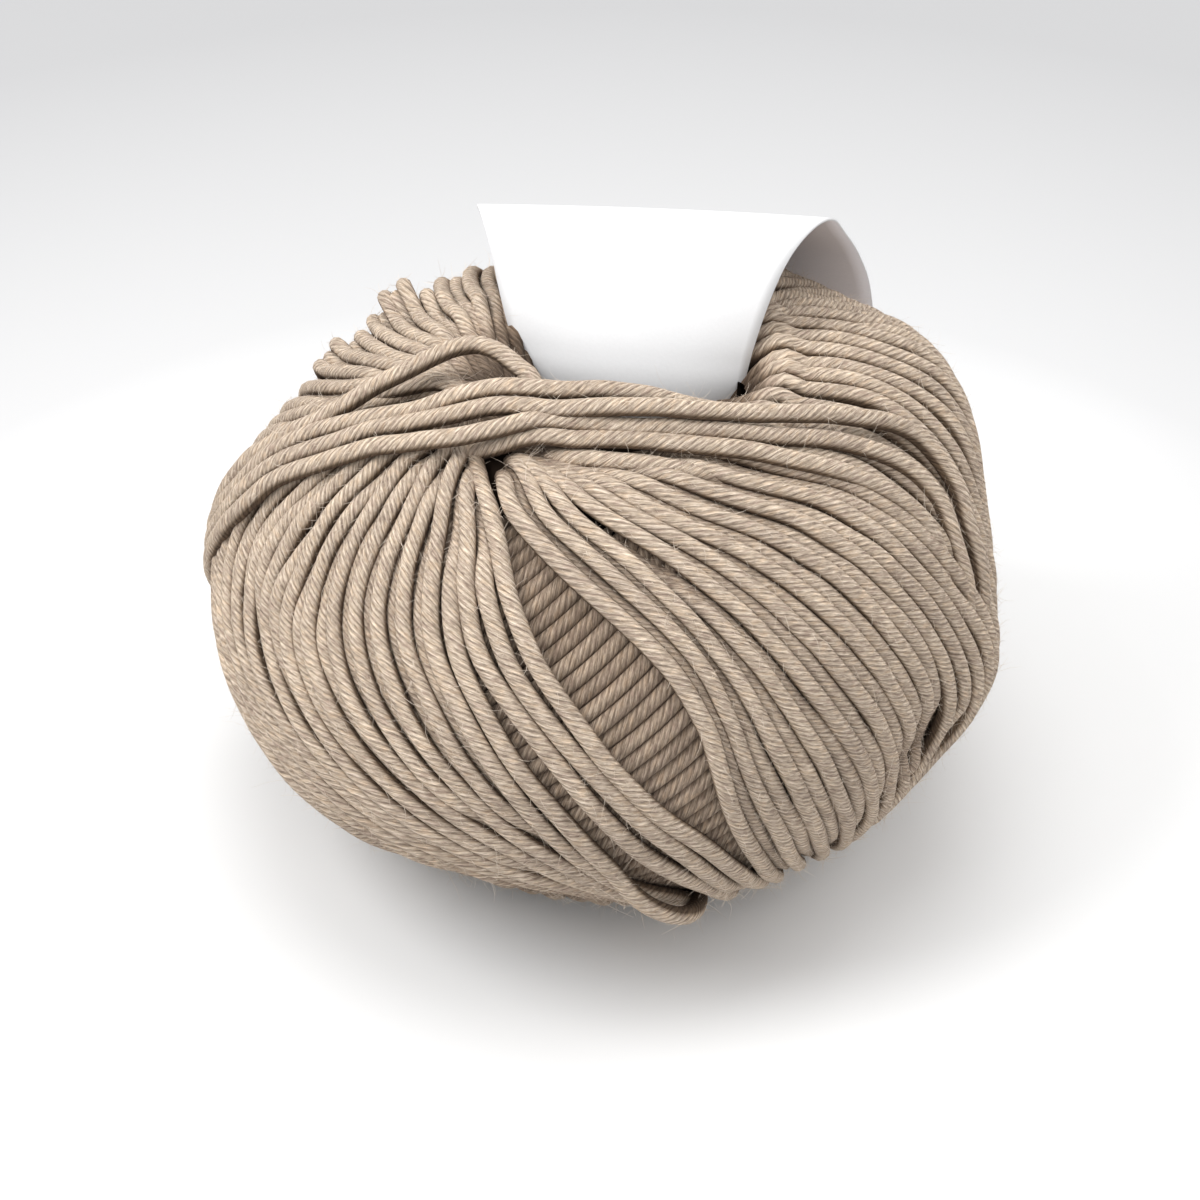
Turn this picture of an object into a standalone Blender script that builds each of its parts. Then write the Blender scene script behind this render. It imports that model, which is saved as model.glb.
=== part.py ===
"""A ball of yarn, wound with a hole from top to bottom, and the paper label that is
threaded through the hole and round the back of the ball.

Lengths are millimetres until a mesh is made, and angles are degrees. Azimuth -90 is the
front of the ball and 0 its right side. Latitude is 0 at its widest and 90 at the top.
"""

import math

import bmesh
import bpy
import numpy as np
from mathutils import Vector

METRES = 0.001

# The wound ball.
BALL_RADIUS = 46.0
BALL_HALF_HEIGHT = 34.0
REST_LEVEL = -30.0  # the flat that the ball rests on, below its middle
RIM_LATITUDE = 60.0
SHOULDER = {"azimuth": 35.0, "latitude": 45.0, "wide": 48.0, "high": 22.0, "swell": 5.0}

# The hole through the ball, from the rim of its funnel to its middle.
HOLE_CENTRE = Vector((3.2, 4.0, 0.0))
HOLE = (
    {"depth": 0.00, "half_x": 23.0, "half_y": 23.0, "height": 29.4},
    {"depth": 0.20, "half_x": 19.6, "half_y": 19.0, "height": 31.3},
    {"depth": 0.40, "half_x": 16.6, "half_y": 15.0, "height": 29.9},
    {"depth": 0.58, "half_x": 15.0, "half_y": 11.6, "height": 24.5},
    {"depth": 0.76, "half_x": 14.4, "half_y": 9.8, "height": 15.0},
    {"depth": 1.00, "half_x": 14.2, "half_y": 9.4, "height": 0.0},
)

# The main twists: each row is a strand that others lie beside, with its azimuth where it
# crosses each latitude, and how many twists lie between it and the row before.
LATITUDES = (-55, -30, -15, 0, 15, 30, 45, 60)
LAY = (
    {"strand": "left side", "twists": 2, "at": (-140, -128, -155, -165, -167, -168, -172, -178)},
    {"strand": "left outer", "twists": 2, "at": (-118, -100, -112, -149, -158, -161, -160, -166)},
    {"strand": "left middle", "twists": 2, "at": (-100, -86, -93, -113, -140, -148, -149, -151)},
    {"strand": "left inner", "twists": 2, "at": (-86, -77, -86, -95, -105, -117, -125, -136)},
    {"strand": "left of gap", "twists": 1, "at": (-72, -65, -69, -76, -86, -97, -110, -124)},
    {"strand": "right of gap", "twists": 2, "at": (-64, -60, -66, -74, -77, -82, -97, -115)},
    {"strand": "right inner", "twists": 2, "at": (-50, -49, -53, -56, -59, -63, -72, -101)},
    {"strand": "right middle", "twists": 1, "at": (-42, -42, -45, -49, -52, -55, -62, -80)},
    {"strand": "right outer", "twists": 2, "at": (-30, -28, -27, -29, -33, -38, -47, -62)},
    {"strand": "right side", "twists": 1, "at": (-22, -20, -18, -20, -23, -26, -32, -40)},
    {"strand": "right back", "twists": 2, "at": (-12, -10, -6, 0, 10, 22, 20, 8)},
    {"strand": "back first", "twists": 2, "at": (0, 4, 10, 20, 30, 42, 42, 35)},
    {"strand": "back second", "twists": 2, "at": (20, 24, 32, 42, 52, 62, 68, 70)},
    {"strand": "back third", "twists": 2, "at": (48, 52, 60, 70, 80, 90, 98, 105)},
    {"strand": "back fourth", "twists": 3, "at": (80, 84, 92, 102, 112, 124, 139, 152)},
    {"strand": "left back", "twists": 2, "at": (112, 112, 118, 126, 135, 146, 158, 168)},
    {"strand": "left shoulder", "twists": 2, "at": (160, 145, 142, 145, 153, 164, 174, 176)},
)
TWIST_DEPTH = 1.6
STEPS_A_TWIST = 4  # of the ball's mesh, whose edges run along the twists
GAP_AFTER = 4  # the row of LAY whose far side is the open gap
GAP_DEPTH = 2.6
GAP_FROM, GAP_TO = -6.0, 58.0  # its ends, as latitudes
GAP_TAPER = 12.0
GAP_TWISTS = 5  # twists of the under layer that cross the gap
GAP_TWIST_DEPTH = 0.9

# The last wraps, which lie across the front of the funnel.
LAST_WRAPS = (
    {"azimuth": -182, "latitude": 18},
    {"azimuth": -170, "latitude": 40},
    {"azimuth": -151, "latitude": 58},
    {"azimuth": -133, "latitude": 69},
    {"azimuth": -117, "latitude": 73},
    {"azimuth": -86, "latitude": 75},
    {"azimuth": -39, "latitude": 68},
    {"azimuth": -15, "latitude": 56},
    {"azimuth": 0, "latitude": 40},
    {"azimuth": 2, "latitude": 22},
)
LAST_WRAPS_HALF_WIDTH = 6.0
LAST_WRAPS_HEIGHT = 2.0
LAST_WRAPS_BRIDGE = 9.0  # the deepest dip of the funnel that they cross

SECTION = 46  # steps of the ball's mesh round its section, of which
OUTSIDE = 15  # lie between its widest and its rim, above and below

# The paper label: its way round, in the plane that divides the ball into left and right,
# its width and how deep its edges curl back.
LABEL_THICKNESS = 1.0
LABEL_GROOVE_DEPTH = 2.8  # where the label is pressed to the underside of the ball
LABEL_SHIFT_X = 2.9
LABEL_TURN = 12.0  # the label's back leg lies this far round to the right
LABEL = (
    {"y": 0.5, "z": 0.0, "width": 22, "curl": 7.0},
    {"y": 0.5, "z": 14.0, "width": 22, "curl": 7.0},
    {"y": 0.9, "z": 25.0, "width": 23, "curl": 6.5},
    {"y": 2.8, "z": 31.0, "width": 26, "curl": 5.5},
    {"y": 6.2, "z": 36.4, "width": 31, "curl": 3.5},
    {"y": 10.4, "z": 41.0, "width": 37, "curl": 1.6},
    {"y": 15.0, "z": 42.8, "width": 41, "curl": 0.8},
    {"y": 20.0, "z": 40.6, "width": 44, "curl": 0.4},
    {"y": 27.0, "z": 34.6, "width": 44, "curl": 0.2},
    {"y": 36.0, "z": 26.6, "width": 44, "curl": 0.0},
    {"y": 43.6, "z": 17.0, "width": 44, "curl": 0.0},
    {"y": 48.0, "z": 5.0, "width": 44, "curl": 0.0},
    {"y": 47.6, "z": -8.0, "width": 44, "curl": 0.0},
    {"y": 42.4, "z": -19.0, "width": 44, "curl": 0.0},
    {"y": 32.0, "z": -26.0, "width": 42, "curl": 0.0},
    {"y": 19.5, "z": -29.4, "width": 31, "curl": 0.0},
    {"y": 9.0, "z": -28.8, "width": 24, "curl": 0.4},
    {"y": 2.0, "z": -20.0, "width": 22, "curl": 4.0},
    {"y": 0.5, "z": -10.0, "width": 22, "curl": 7.0},
)
LABEL_FULL_CURL = {"deep": 7.0, "bend": 100.0}  # an edge's curl in the hole, in mm and degrees
LABEL_FLAT_BEND = 2.0
LABEL_ROUND = 56
LABEL_ACROSS = 6


def clear_scene():
    for found in list(bpy.data.objects):
        bpy.data.objects.remove(found)


def ease(value, low, high):
    """0 below low, 1 above high and a soft step between them."""
    share = min(1.0, max(0.0, (value - low) / (high - low)))
    return share * share * (3 - 2 * share)


def smooth_value(places, values, at):
    """Reads a short table on a smooth curve through its rows."""
    slopes = np.gradient(values, places)
    number = min(max(int(np.searchsorted(places, at)) - 1, 0), len(places) - 2)
    length = places[number + 1] - places[number]
    share = (at - places[number]) / length
    start, end = values[number], values[number + 1]
    lean_out, lean_in = slopes[number] * length, slopes[number + 1] * length
    bend = 3 * (end - start) - 2 * lean_out - lean_in
    turn = 2 * (start - end) + lean_out + lean_in
    return float(start + share * (lean_out + share * (bend + share * turn)))


def signed_turn(azimuth):
    return (azimuth + 180) % 360 - 180


def outside_point(azimuth, latitude):
    """A place on the smooth ball, whose right back shoulder is fuller than the rest."""
    across = signed_turn(azimuth - SHOULDER["azimuth"]) / SHOULDER["wide"]
    up = (latitude - SHOULDER["latitude"]) / SHOULDER["high"]
    swell = SHOULDER["swell"] * math.exp(-across * across - up * up)
    turn, rise = math.radians(azimuth), math.radians(latitude)
    level = (BALL_RADIUS + swell) * math.cos(rise)
    height = (BALL_HALF_HEIGHT + swell) * math.sin(rise)
    return Vector((level * math.cos(turn), level * math.sin(turn), height))


def outward(point):
    squashed = point.z * (BALL_RADIUS / BALL_HALF_HEIGHT) ** 2
    return Vector((point.x, point.y, squashed)).normalized()


def hole_point(azimuth, depth, side):
    """A place in the funnel or the hole, at a depth from 0 at the rim to 1 in the middle."""
    depths = [row["depth"] for row in HOLE]
    half_x, half_y, height = (
        float(np.interp(depth, depths, [row[name] for row in HOLE]))
        for name in ("half_x", "half_y", "height")
    )
    turn = math.radians(azimuth)
    place = Vector((half_x * math.cos(turn), half_y * math.sin(turn), side * height))
    place += HOLE_CENTRE * ease(depth, 0.0, 0.6)
    rim = math.radians(RIM_LATITUDE)
    plain = Vector((math.cos(turn) * math.cos(rim), math.sin(turn) * math.cos(rim), 0)) * BALL_RADIUS
    plain.z = side * BALL_HALF_HEIGHT * math.sin(rim)
    return place + (outside_point(azimuth, side * RIM_LATITUDE) - plain) * (1 - depth) ** 2


def twist_total():
    return sum(row["twists"] for row in LAY)


def strand_azimuth(count, latitude):
    """Where the strand a number of twists round from the first row crosses a latitude."""
    places = [smooth_value(LATITUDES, row["at"], latitude) for row in LAY]
    counts = [sum(row["twists"] for row in LAY[1 : number + 1]) for number in range(len(LAY))]
    return float(np.interp(count, counts + [twist_total()], places + [places[0] + 360]))


def round_top(count):
    """Strands side by side: 1 along a strand's top and 0 in the groove between two."""
    return abs(math.sin(math.pi * count))


def twist_height(count, latitude):
    """How far a place lies below the tops of the strands."""
    level = TWIST_DEPTH * (round_top(count) - 1)
    start = sum(row["twists"] for row in LAY[1 : GAP_AFTER + 1])
    share = (count - start) / LAY[GAP_AFTER + 1]["twists"]
    if not 0 < share < 1:
        return level
    opened = ease(latitude, GAP_FROM, GAP_FROM + GAP_TAPER)
    opened *= (1 - ease(latitude, GAP_TO - GAP_TAPER, GAP_TO)) * math.sin(math.pi * share) ** 0.5
    along = (latitude - GAP_FROM) / (GAP_TO - GAP_FROM) - share / GAP_TWISTS
    under = -GAP_DEPTH + GAP_TWIST_DEPTH * (round_top(GAP_TWISTS * along) - 1)
    return level + (under - level) * opened


def last_wraps_curve():
    rows = range(len(LAST_WRAPS))
    azimuths = [row["azimuth"] for row in LAST_WRAPS]
    latitudes = [row["latitude"] for row in LAST_WRAPS]
    return [
        outside_point(smooth_value(rows, azimuths, at), smooth_value(rows, latitudes, at))
        for at in np.linspace(0, rows[-1], 8 * rows[-1] + 1)
    ]


def last_wraps_over(point, curve):
    """How far a place rises to the wraps that cross over it, and how much they cover it."""
    normal = outward(point)
    nearest = min(curve, key=lambda found: (found - point).length)
    gap = nearest - point
    above = gap.dot(normal)
    aside = (gap - normal * above).length / LAST_WRAPS_HALF_WIDTH
    if aside > 1 or above > LAST_WRAPS_BRIDGE:
        return 0.0, 0.0
    crown = math.sqrt(1 - aside * aside)
    return (above + LAST_WRAPS_HEIGHT) * crown, crown


def label_groove(point):
    """1 where the label is pressed to the underside of the ball."""
    aside = abs(point.x - LABEL_SHIFT_X - point.y * math.tan(math.radians(LABEL_TURN)))
    return ease(point.y, -2, 5) * (1 - ease(aside, 22, 27)) * ease(-point.z, 12, 22)


def ball_point(count, step, curve):
    """The finished surface, at a step round the section, from 0 at the ball's widest."""
    side = 1 if step >= 0 else -1
    latitude = side * RIM_LATITUDE * min(1.0, abs(step) / OUTSIDE)
    depth = max(0.0, (abs(step) - OUTSIDE) / (SECTION / 2 - OUTSIDE))
    azimuth = strand_azimuth(count, latitude)
    if depth > 0:
        even = LAY[0]["at"][-1] + 360 * count / twist_total()
        azimuth += (even - azimuth) * ease(depth, 0.2, 1.0)
        point = hole_point(azimuth, depth, side)
    else:
        point = outside_point(azimuth, latitude)
    normal = outward(point)
    groove = label_groove(point)
    rise, covered = last_wraps_over(point, curve) if side > 0 else (0.0, 0.0)
    shown = (1 - ease(depth, 0.3, 0.6)) * (1 - groove) * (1 - covered)
    shown *= 1 - ease(-latitude, 48, 60)
    pressed = LABEL_GROOVE_DEPTH * groove * (1 - ease(depth, 0.5, 0.9))
    point += normal * (twist_height(count, latitude) * shown + rise - pressed)
    point.z = max(point.z, REST_LEVEL)
    return point * METRES


def make_material(name, colour, roughness):
    material = bpy.data.materials.new(name)
    material.use_nodes = True
    shader = material.node_tree.nodes["Principled BSDF"]
    shader.inputs["Base Color"].default_value = (*colour, 1)
    shader.inputs["Roughness"].default_value = roughness
    material.diffuse_color = (*colour, 1)
    return material


def move_to_collection(piece, collection):
    for found in list(piece.users_collection):
        found.objects.unlink(piece)
    collection.objects.link(piece)


def add_ball(collection):
    """The wound yarn, shaped from a torus, because the hole goes right through."""
    around = STEPS_A_TWIST * twist_total()
    bpy.ops.mesh.primitive_torus_add(
        major_segments=around, minor_segments=SECTION, major_radius=1, minor_radius=0.5
    )
    ball = bpy.context.object
    ball.name = ball.data.name = "yarn_ball"
    curve = last_wraps_curve()
    for vertex in ball.data.vertices:
        place = vertex.co
        count = round(math.atan2(place.y, place.x) / math.tau * around) % around / STEPS_A_TWIST
        step = round(math.atan2(place.z, math.hypot(place.x, place.y) - 1) / math.tau * SECTION)
        vertex.co = ball_point(count, step, curve)
    ball.data.shade_smooth()
    ball.data.materials.append(make_material("yarn", (0.45, 0.36, 0.27), 0.95))
    move_to_collection(ball, collection)
    return ball


def label_row(share):
    """The label's place, width and curl a share of the way round it."""
    rows = LABEL[-3:] + LABEL + LABEL[:4]
    at = 3 + share * len(LABEL)
    return {name: smooth_value(range(len(rows)), [row[name] for row in rows], at) for name in LABEL[0]}


def label_point(share, across):
    """A place on the label's middle sheet, whose edges curl back where the hole is narrow."""
    row = label_row(share)
    ahead = label_row((share + 0.002) % 1)
    along = Vector((0, ahead["y"] - row["y"], ahead["z"] - row["z"])).normalized()
    inward = Vector((0, along.z, -along.y))
    curl = max(row["curl"], 0.0)
    share_curled = min(1.0, curl / LABEL_FULL_CURL["deep"])
    bend = math.radians(max(LABEL_FLAT_BEND, LABEL_FULL_CURL["bend"] * share_curled))
    widest = math.sin(min(bend, math.pi / 2))
    x = row["width"] / 2 * math.sin(bend * across) / widest
    back = curl * (1 - math.cos(bend * across)) / (1 - math.cos(bend))
    flat = Vector((x, row["y"], row["z"])) + inward * back
    turn = math.radians(-LABEL_TURN)
    return Vector(
        (
            LABEL_SHIFT_X + flat.x * math.cos(turn) - flat.y * math.sin(turn),
            flat.x * math.sin(turn) + flat.y * math.cos(turn),
            max(flat.z, REST_LEVEL + LABEL_THICKNESS / 2),
        )
    )


def add_label(collection):
    """The paper band: an open tube, flattened to the label's way round, with a thickness."""
    mesh = bpy.data.meshes.new("paper_label")
    shape = bmesh.new()
    bmesh.ops.create_cone(shape, segments=LABEL_ROUND, radius1=1, radius2=1, depth=2)
    lengthwise = [edge for edge in shape.edges if abs(edge.verts[0].co.z - edge.verts[1].co.z) > 1]
    bmesh.ops.subdivide_edges(shape, edges=lengthwise, cuts=LABEL_ACROSS - 1, use_grid_fill=True)
    for vertex in shape.verts:
        share = (math.atan2(vertex.co.y, vertex.co.x) / math.tau) % 1
        vertex.co = label_point(share, vertex.co.z) * METRES
    shape.to_mesh(mesh)
    shape.free()
    label = bpy.data.objects.new("paper_label", mesh)
    thickness = label.modifiers.new("Paper", "SOLIDIFY")
    thickness.thickness = LABEL_THICKNESS * METRES
    thickness.offset = 0
    mesh.shade_smooth()
    mesh.materials.append(make_material("paper", (0.9, 0.9, 0.9), 0.6))
    collection.objects.link(label)
    return label


def stand_on_origin(parts, name):
    """Puts the middle of the underside of the parts' common box on the origin."""
    holder = bpy.data.objects.new(name, None)
    bpy.context.scene.collection.objects.link(holder)
    bpy.context.view_layer.update()
    graph = bpy.context.evaluated_depsgraph_get()
    corners = []
    for part in parts:
        shown = part.evaluated_get(graph)
        corners += [Vector(corner) for corner in shown.bound_box]
        part.parent = holder
    low = Vector([min(corner[axis] for corner in corners) for axis in range(3)])
    high = Vector([max(corner[axis] for corner in corners) for axis in range(3)])
    holder.location = (-(low.x + high.x) / 2, -(low.y + high.y) / 2, -low.z)
    return holder


clear_scene()
yarn_and_label = bpy.data.collections.new("ball_of_yarn")
bpy.context.scene.collection.children.link(yarn_and_label)
pieces = [add_ball(yarn_and_label), add_label(yarn_and_label)]
stand_on_origin(pieces, "ball_of_yarn_on_its_base")
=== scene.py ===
import math

import bpy
import numpy as np
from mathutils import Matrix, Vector


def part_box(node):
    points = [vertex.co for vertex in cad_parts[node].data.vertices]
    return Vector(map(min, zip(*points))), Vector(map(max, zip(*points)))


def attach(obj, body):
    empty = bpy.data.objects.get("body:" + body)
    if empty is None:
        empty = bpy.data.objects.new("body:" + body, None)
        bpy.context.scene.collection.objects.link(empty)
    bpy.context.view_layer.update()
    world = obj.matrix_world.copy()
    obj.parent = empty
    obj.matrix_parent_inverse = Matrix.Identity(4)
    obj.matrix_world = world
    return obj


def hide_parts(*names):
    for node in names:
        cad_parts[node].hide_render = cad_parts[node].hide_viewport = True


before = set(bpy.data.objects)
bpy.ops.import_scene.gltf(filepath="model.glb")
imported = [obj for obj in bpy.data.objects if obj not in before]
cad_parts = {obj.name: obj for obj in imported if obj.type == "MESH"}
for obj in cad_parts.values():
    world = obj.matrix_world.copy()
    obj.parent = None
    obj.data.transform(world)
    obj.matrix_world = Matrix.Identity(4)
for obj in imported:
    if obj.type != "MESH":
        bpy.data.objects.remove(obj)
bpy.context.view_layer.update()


# The outer strands: the last layer of the ball, which is one long plied wool yarn. A winding
# machine lays it in slanting wraps, each beside the last, so the strands run in fans from the
# funnel at the top, over the outside and into the funnel below. Their own tension holds them.
MM = 0.001
YARN_THICK = 2.15
BALL_RADIUS = 46.0
BALL_HALF_HEIGHT = 34.0
REST_LEVEL = -30.0
MIDDLE_ACROSS = -0.081
MIDDLE_BEHIND_FRONT = 45.854
SHOULDER = {"azimuth": 35.0, "latitude": 45.0, "wide": 48.0, "high": 22.0, "swell": 5.0}
# Places are in millimetres from the middle of the ball; azimuth -90 is the front, 0 the right.
ball_low = np.array(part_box("yarn_ball")[0]) / MM
ball_centre = np.array((MIDDLE_ACROSS, ball_low[1] + MIDDLE_BEHIND_FRONT, ball_low[2] - REST_LEVEL))

LATITUDES = (-55, -30, -20, -10, 0, 10, 20, 30, 40, 50, 55, 60)
LAY = (
    # strand, strands from the one before, how deep it goes under the last wraps and from what
    # latitude, how deep it has gone when it ends in the funnel, and its azimuth at LATITUDES
    ("left edge", 14, 3, 40, 9,
     (-115, -122, -128, -139, -152, -164, -170, -172, -171, -171, -172.3, -174)),
    ("left fourth", 4, 3, 46, 9,
     (-88, -97, -106, -125, -139, -151.5, -158.6, -162, -162, -163, -164.8, -167)),
    ("left third", 3, 3, 50, 9,
     (-81, -89, -100, -115.7, -130.9, -142, -149, -151, -153, -153, -154.8, -157)),
    ("left second", 5, 3, 54, 9,
     (-76, -85, -93, -101.4, -113.3, -123.8, -133, -138.9, -142, -144.2, -146, -148)),
    ("left first", 5, 2.4, 55, 8,
     (-72, -82, -89.5, -95.8, -104.2, -111.8, -119, -126.2, -130.4, -133.8, -136.3, -139)),
    ("by gap fifth", 3, 1.8, 56, 8,
     (-69, -79, -87, -93.1, -99.1, -105, -110.9, -117.7, -122.3, -127, -130.8, -135)),
    ("loose loop", 1, 1.4, 56, 8,
     (-66, -77, -85, -90, -95.2, -101.1, -106.9, -113.6, -118.4, -123.2, -127.6, -132.5)),
    ("by gap third", 1, 0.9, 57, 8,
     (-57, -71, -76.5, -82.9, -88.9, -94.7, -101.6, -109.5, -115, -120, -124.8, -130.2)),
    ("by gap second", 1, 0.5, 57, 8,
     (-53, -67.5, -73, -78, -84.6, -90.8, -97.4, -104.9, -110.9, -116.8, -122, -128)),
    ("left of gap", 1, 0, 58, 8,
     (-49, -64, -69, -74.2, -81, -87.4, -93.6, -100.3, -106.6, -113.4, -118.6, -126.2)),
    ("right of gap", 1, 3, 57, 7,
     (-45, -60.5, -65, -69, -72, -73.7, -75.5, -79.4, -88.4, -103.2, -112.2, -118.5)),
    ("right first", 2, 0, 58, 6,
     (-40, -55.5, -60.5, -64, -67.1, -69.5, -71.6, -75, -82, -94.8, -103.6, -110.5)),
    ("right second", 1, 0, 58, 6,
     (-37, -52.5, -57.5, -61, -64.6, -67.4, -69.6, -72.8, -78.6, -89.4, -98.6, -106.5)),
    ("right third", 4, 0, 58, 5,
     (-27, -43.5, -46.7, -50, -53.2, -56.6, -60.4, -64.8, -71.3, -83, -92.5, -103)),
    ("right fourth", 5, 0, 58, 5,
     (-28, -37, -35.5, -37.6, -39.9, -42.8, -46.3, -50.2, -55.7, -66.1, -75.1, -85.3)),
    ("right fifth", 4, 0, 58, 6,
     (-25, -34, -31, -29, -30, -31.8, -34.2, -37.3, -41.4, -49.5, -57.9, -67.6)),
    ("right sixth", 4, 0, 58, 6.5,
     (-20, -27, -22, -19, -18, -18.5, -21, -23.8, -26.9, -32.9, -39, -46)),
    ("behind label", 5, 0, 58, 6.5,
     (-5, -14, -11, -9, -8, -7, -7, -7, -6, -5, -4.9, -5)),
    ("right back", 5, 0, 58, 5,
     (9, -2, 0, 1.5, 3, 6, 9, 13, 16, 17, 18.4, 20)),
    ("back first", 7, 0, 58, 3,
     (18, 6, 9, 13, 20, 26.5, 34, 41, 43, 41, 38.7, 36)),
    ("back second", 6, 0, 58, 4,
     (34, 24, 29, 35, 42, 49, 55, 62, 66, 69, 69.6, 70)),
    ("back third", 8, 0, 58, 5,
     (56, 52, 57, 63, 70, 77, 83, 90, 95, 100, 102.5, 105)),
    ("back fourth", 9, 0, 58, 3,
     (86, 83, 88, 94, 100, 106, 113, 121, 130, 139, 144.8, 151)),
    ("left back", 7, 0, 58, 2.4,
     (112, 111, 115, 119, 124, 129, 134, 140, 148, 159, 165.8, 173)),
    ("left shoulder", 7, 0, 58, 4,
     (140, 133, 136, 139, 143, 148, 154, 161, 170, 179, 182.6, 186)),
)
CROWN = (
    # the funnel's rings from the outside in; the shift is a share of the way to HOLE_CENTRE
    {"half_x": 23.0, "half_y": 23.0, "shift": 0.0, "height": 29.4},
    {"half_x": 19.6, "half_y": 19.0, "shift": 0.25, "height": 31.3},
    {"half_x": 13.6, "half_y": 14.2, "shift": 0.8, "height": 31.6},
    {"half_x": 10.6, "half_y": 11.2, "shift": 1.0, "height": 28.6},
    {"half_x": 9.6, "half_y": 9.6, "shift": 1.0, "height": 15.0},
)
HOLE_CENTRE = np.array((2.5, 4.0))
chance = np.random.default_rng(7)


def smooth_table(places, values, at):
    """Reads rows on a smooth curve through them, at each of several places."""
    places, values = np.asarray(places, float), np.asarray(values, float)
    slopes = np.gradient(values, places, axis=0)
    number = np.clip(np.searchsorted(places, at) - 1, 0, len(places) - 2)
    wide = (slice(None),) + (None,) * (values.ndim - 1)
    length = (places[number + 1] - places[number])[wide]
    share = (np.asarray(at) - places[number])[wide] / length
    start, end = values[number], values[number + 1]
    lean_out, lean_in = slopes[number] * length, slopes[number + 1] * length
    bend = 3 * (end - start) - 2 * lean_out - lean_in
    turn = 2 * (start - end) + lean_out + lean_in
    return start + share * (lean_out + share * (bend + share * turn))


def ease(value, low, high):
    """Rises smoothly from 0 to 1 while the value goes from low to high."""
    share = np.clip((value - low) / (high - low), 0, 1)
    return share * share * (3 - 2 * share)


def unit(vectors):
    return vectors / np.maximum(np.linalg.norm(vectors, axis=-1, keepdims=True), 1e-9)


def outward(places):
    """The way out of the ball at places on it."""
    return unit(places * np.array((1, 1, (BALL_RADIUS / BALL_HALF_HEIGHT) ** 2)))


def on_ball(azimuth, latitude, sunk=0.0):
    """Places a depth below the ball's surface, outside its two funnels."""
    across = ((azimuth - SHOULDER["azimuth"] + 180) % 360 - 180) / SHOULDER["wide"]
    up = (latitude - SHOULDER["latitude"]) / SHOULDER["high"]
    swell = SHOULDER["swell"] * np.exp(-across**2 - up**2)
    turn, rise = np.radians(azimuth), np.radians(latitude)
    level = (BALL_RADIUS + swell) * np.cos(rise)
    height = (BALL_HALF_HEIGHT + swell) * np.sin(rise)
    places = np.stack((level * np.cos(turn), level * np.sin(turn), height), axis=-1)
    return places - outward(places) * np.asarray(sunk)[..., None]


def crown_height(flat):
    """How high the funnel's surface is over places of the plan."""
    rings = np.stack(
        [
            np.hypot(
                (flat[..., 0] - row["shift"] * HOLE_CENTRE[0]) / row["half_x"],
                (flat[..., 1] - row["shift"] * HOLE_CENTRE[1]) / row["half_y"],
            )
            for row in CROWN
        ],
        axis=-1,
    )
    inside = np.clip(np.sum(rings < 1, axis=-1) - 1, 0, len(CROWN) - 2)[..., None]
    outer = np.take_along_axis(rings, inside, -1)[..., 0]
    inner = np.take_along_axis(rings, inside + 1, -1)[..., 0]
    share = np.clip((1 - outer) / np.maximum(inner - outer, 1e-6), 0, 1)
    return np.interp(inside[..., 0] + share, range(len(CROWN)), [row["height"] for row in CROWN])


CROWN_STEP = 1.1
CROWN_STEPS = 26
CROWN_INNERMOST = 2.9  # the row of CROWN, in part, that strands slide round
LEVEL_STEPS = 2  # steps before a strand starts to sink
SETTLING_STEPS = 18  # steps until it lies right on the funnel


def over_crown(start, heading, side, deep):
    """Leads strands on over the funnel's rim, straight but for the hole that they slide round."""
    flat, heading = start[:, :2].copy(), unit(heading[:, :2])
    rows = range(len(CROWN))
    hole = np.array(
        [np.interp(CROWN_INNERMOST, rows, [row[half] for row in CROWN]) for half in ("half_x", "half_y")]
    )
    gap = start[:, 2] - side * crown_height(flat)
    steps = []
    for number in range(1, CROWN_STEPS + 1):
        ahead = flat + heading * CROWN_STEP
        off = (ahead - HOLE_CENTRE) / hole
        near = np.linalg.norm(off, axis=1, keepdims=True)
        ahead = np.where(near < 1, HOLE_CENTRE + off / np.maximum(near, 1e-6) * hole, ahead)
        heading = unit(ahead - flat)
        flat = ahead
        sink = deep * max(0, number - LEVEL_STEPS) / (CROWN_STEPS - LEVEL_STEPS - 1)
        settled = ease(float(number), 0, SETTLING_STEPS)
        height = side * (crown_height(flat) - sink - YARN_THICK / 2 * settled) + gap * (1 - settled)
        steps.append(np.column_stack((flat, height)))
    return np.stack(steps, axis=1)


def wander(count, length, size, wave):
    """A slow random wander along each strand."""
    along = np.arange(length)[None, :]
    total = np.zeros((count, length))
    for share in (1.0, 0.5, 0.27):
        phase = chance.uniform(0, 2 * np.pi, (count, 1))
        stretch = chance.uniform(0.8, 1.25, (count, 1))
        total += share * np.sin(2 * np.pi * along / (wave * share * stretch) + phase)
    return total * size / 1.2


DENTS = (
    # azimuth and latitude, how wide and high in degrees, and how deep; a bulge is below zero
    (-110, -38, 26, 15, 3.4),
    (-35, -9, 7, 10, 2.4),
    (-20, -2, 9, 16, -1.8),
    (16, 33, 18, 13, -2.3),
    (118, 48, 20, 14, -1.8),
    (-8, 63, 24, 9, 1.8),
    (38, 47, 14, 9, 2.2),
    (138, 47, 3.5, 8, -3.4),
    (150, 37, 3, 6, -1.8),
)


def dent_depth(azimuths, latitudes, dents):
    """How far places of the ball are pushed in by the dents, or out by the bulges."""
    total = 0.0
    for azimuth, latitude, wide, high, deep in dents:
        across = (azimuths - azimuth + 180) % 360 - 180
        total = total + deep * np.exp(-((across / wide) ** 2) - ((latitudes - latitude) / high) ** 2)
    return total


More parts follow.
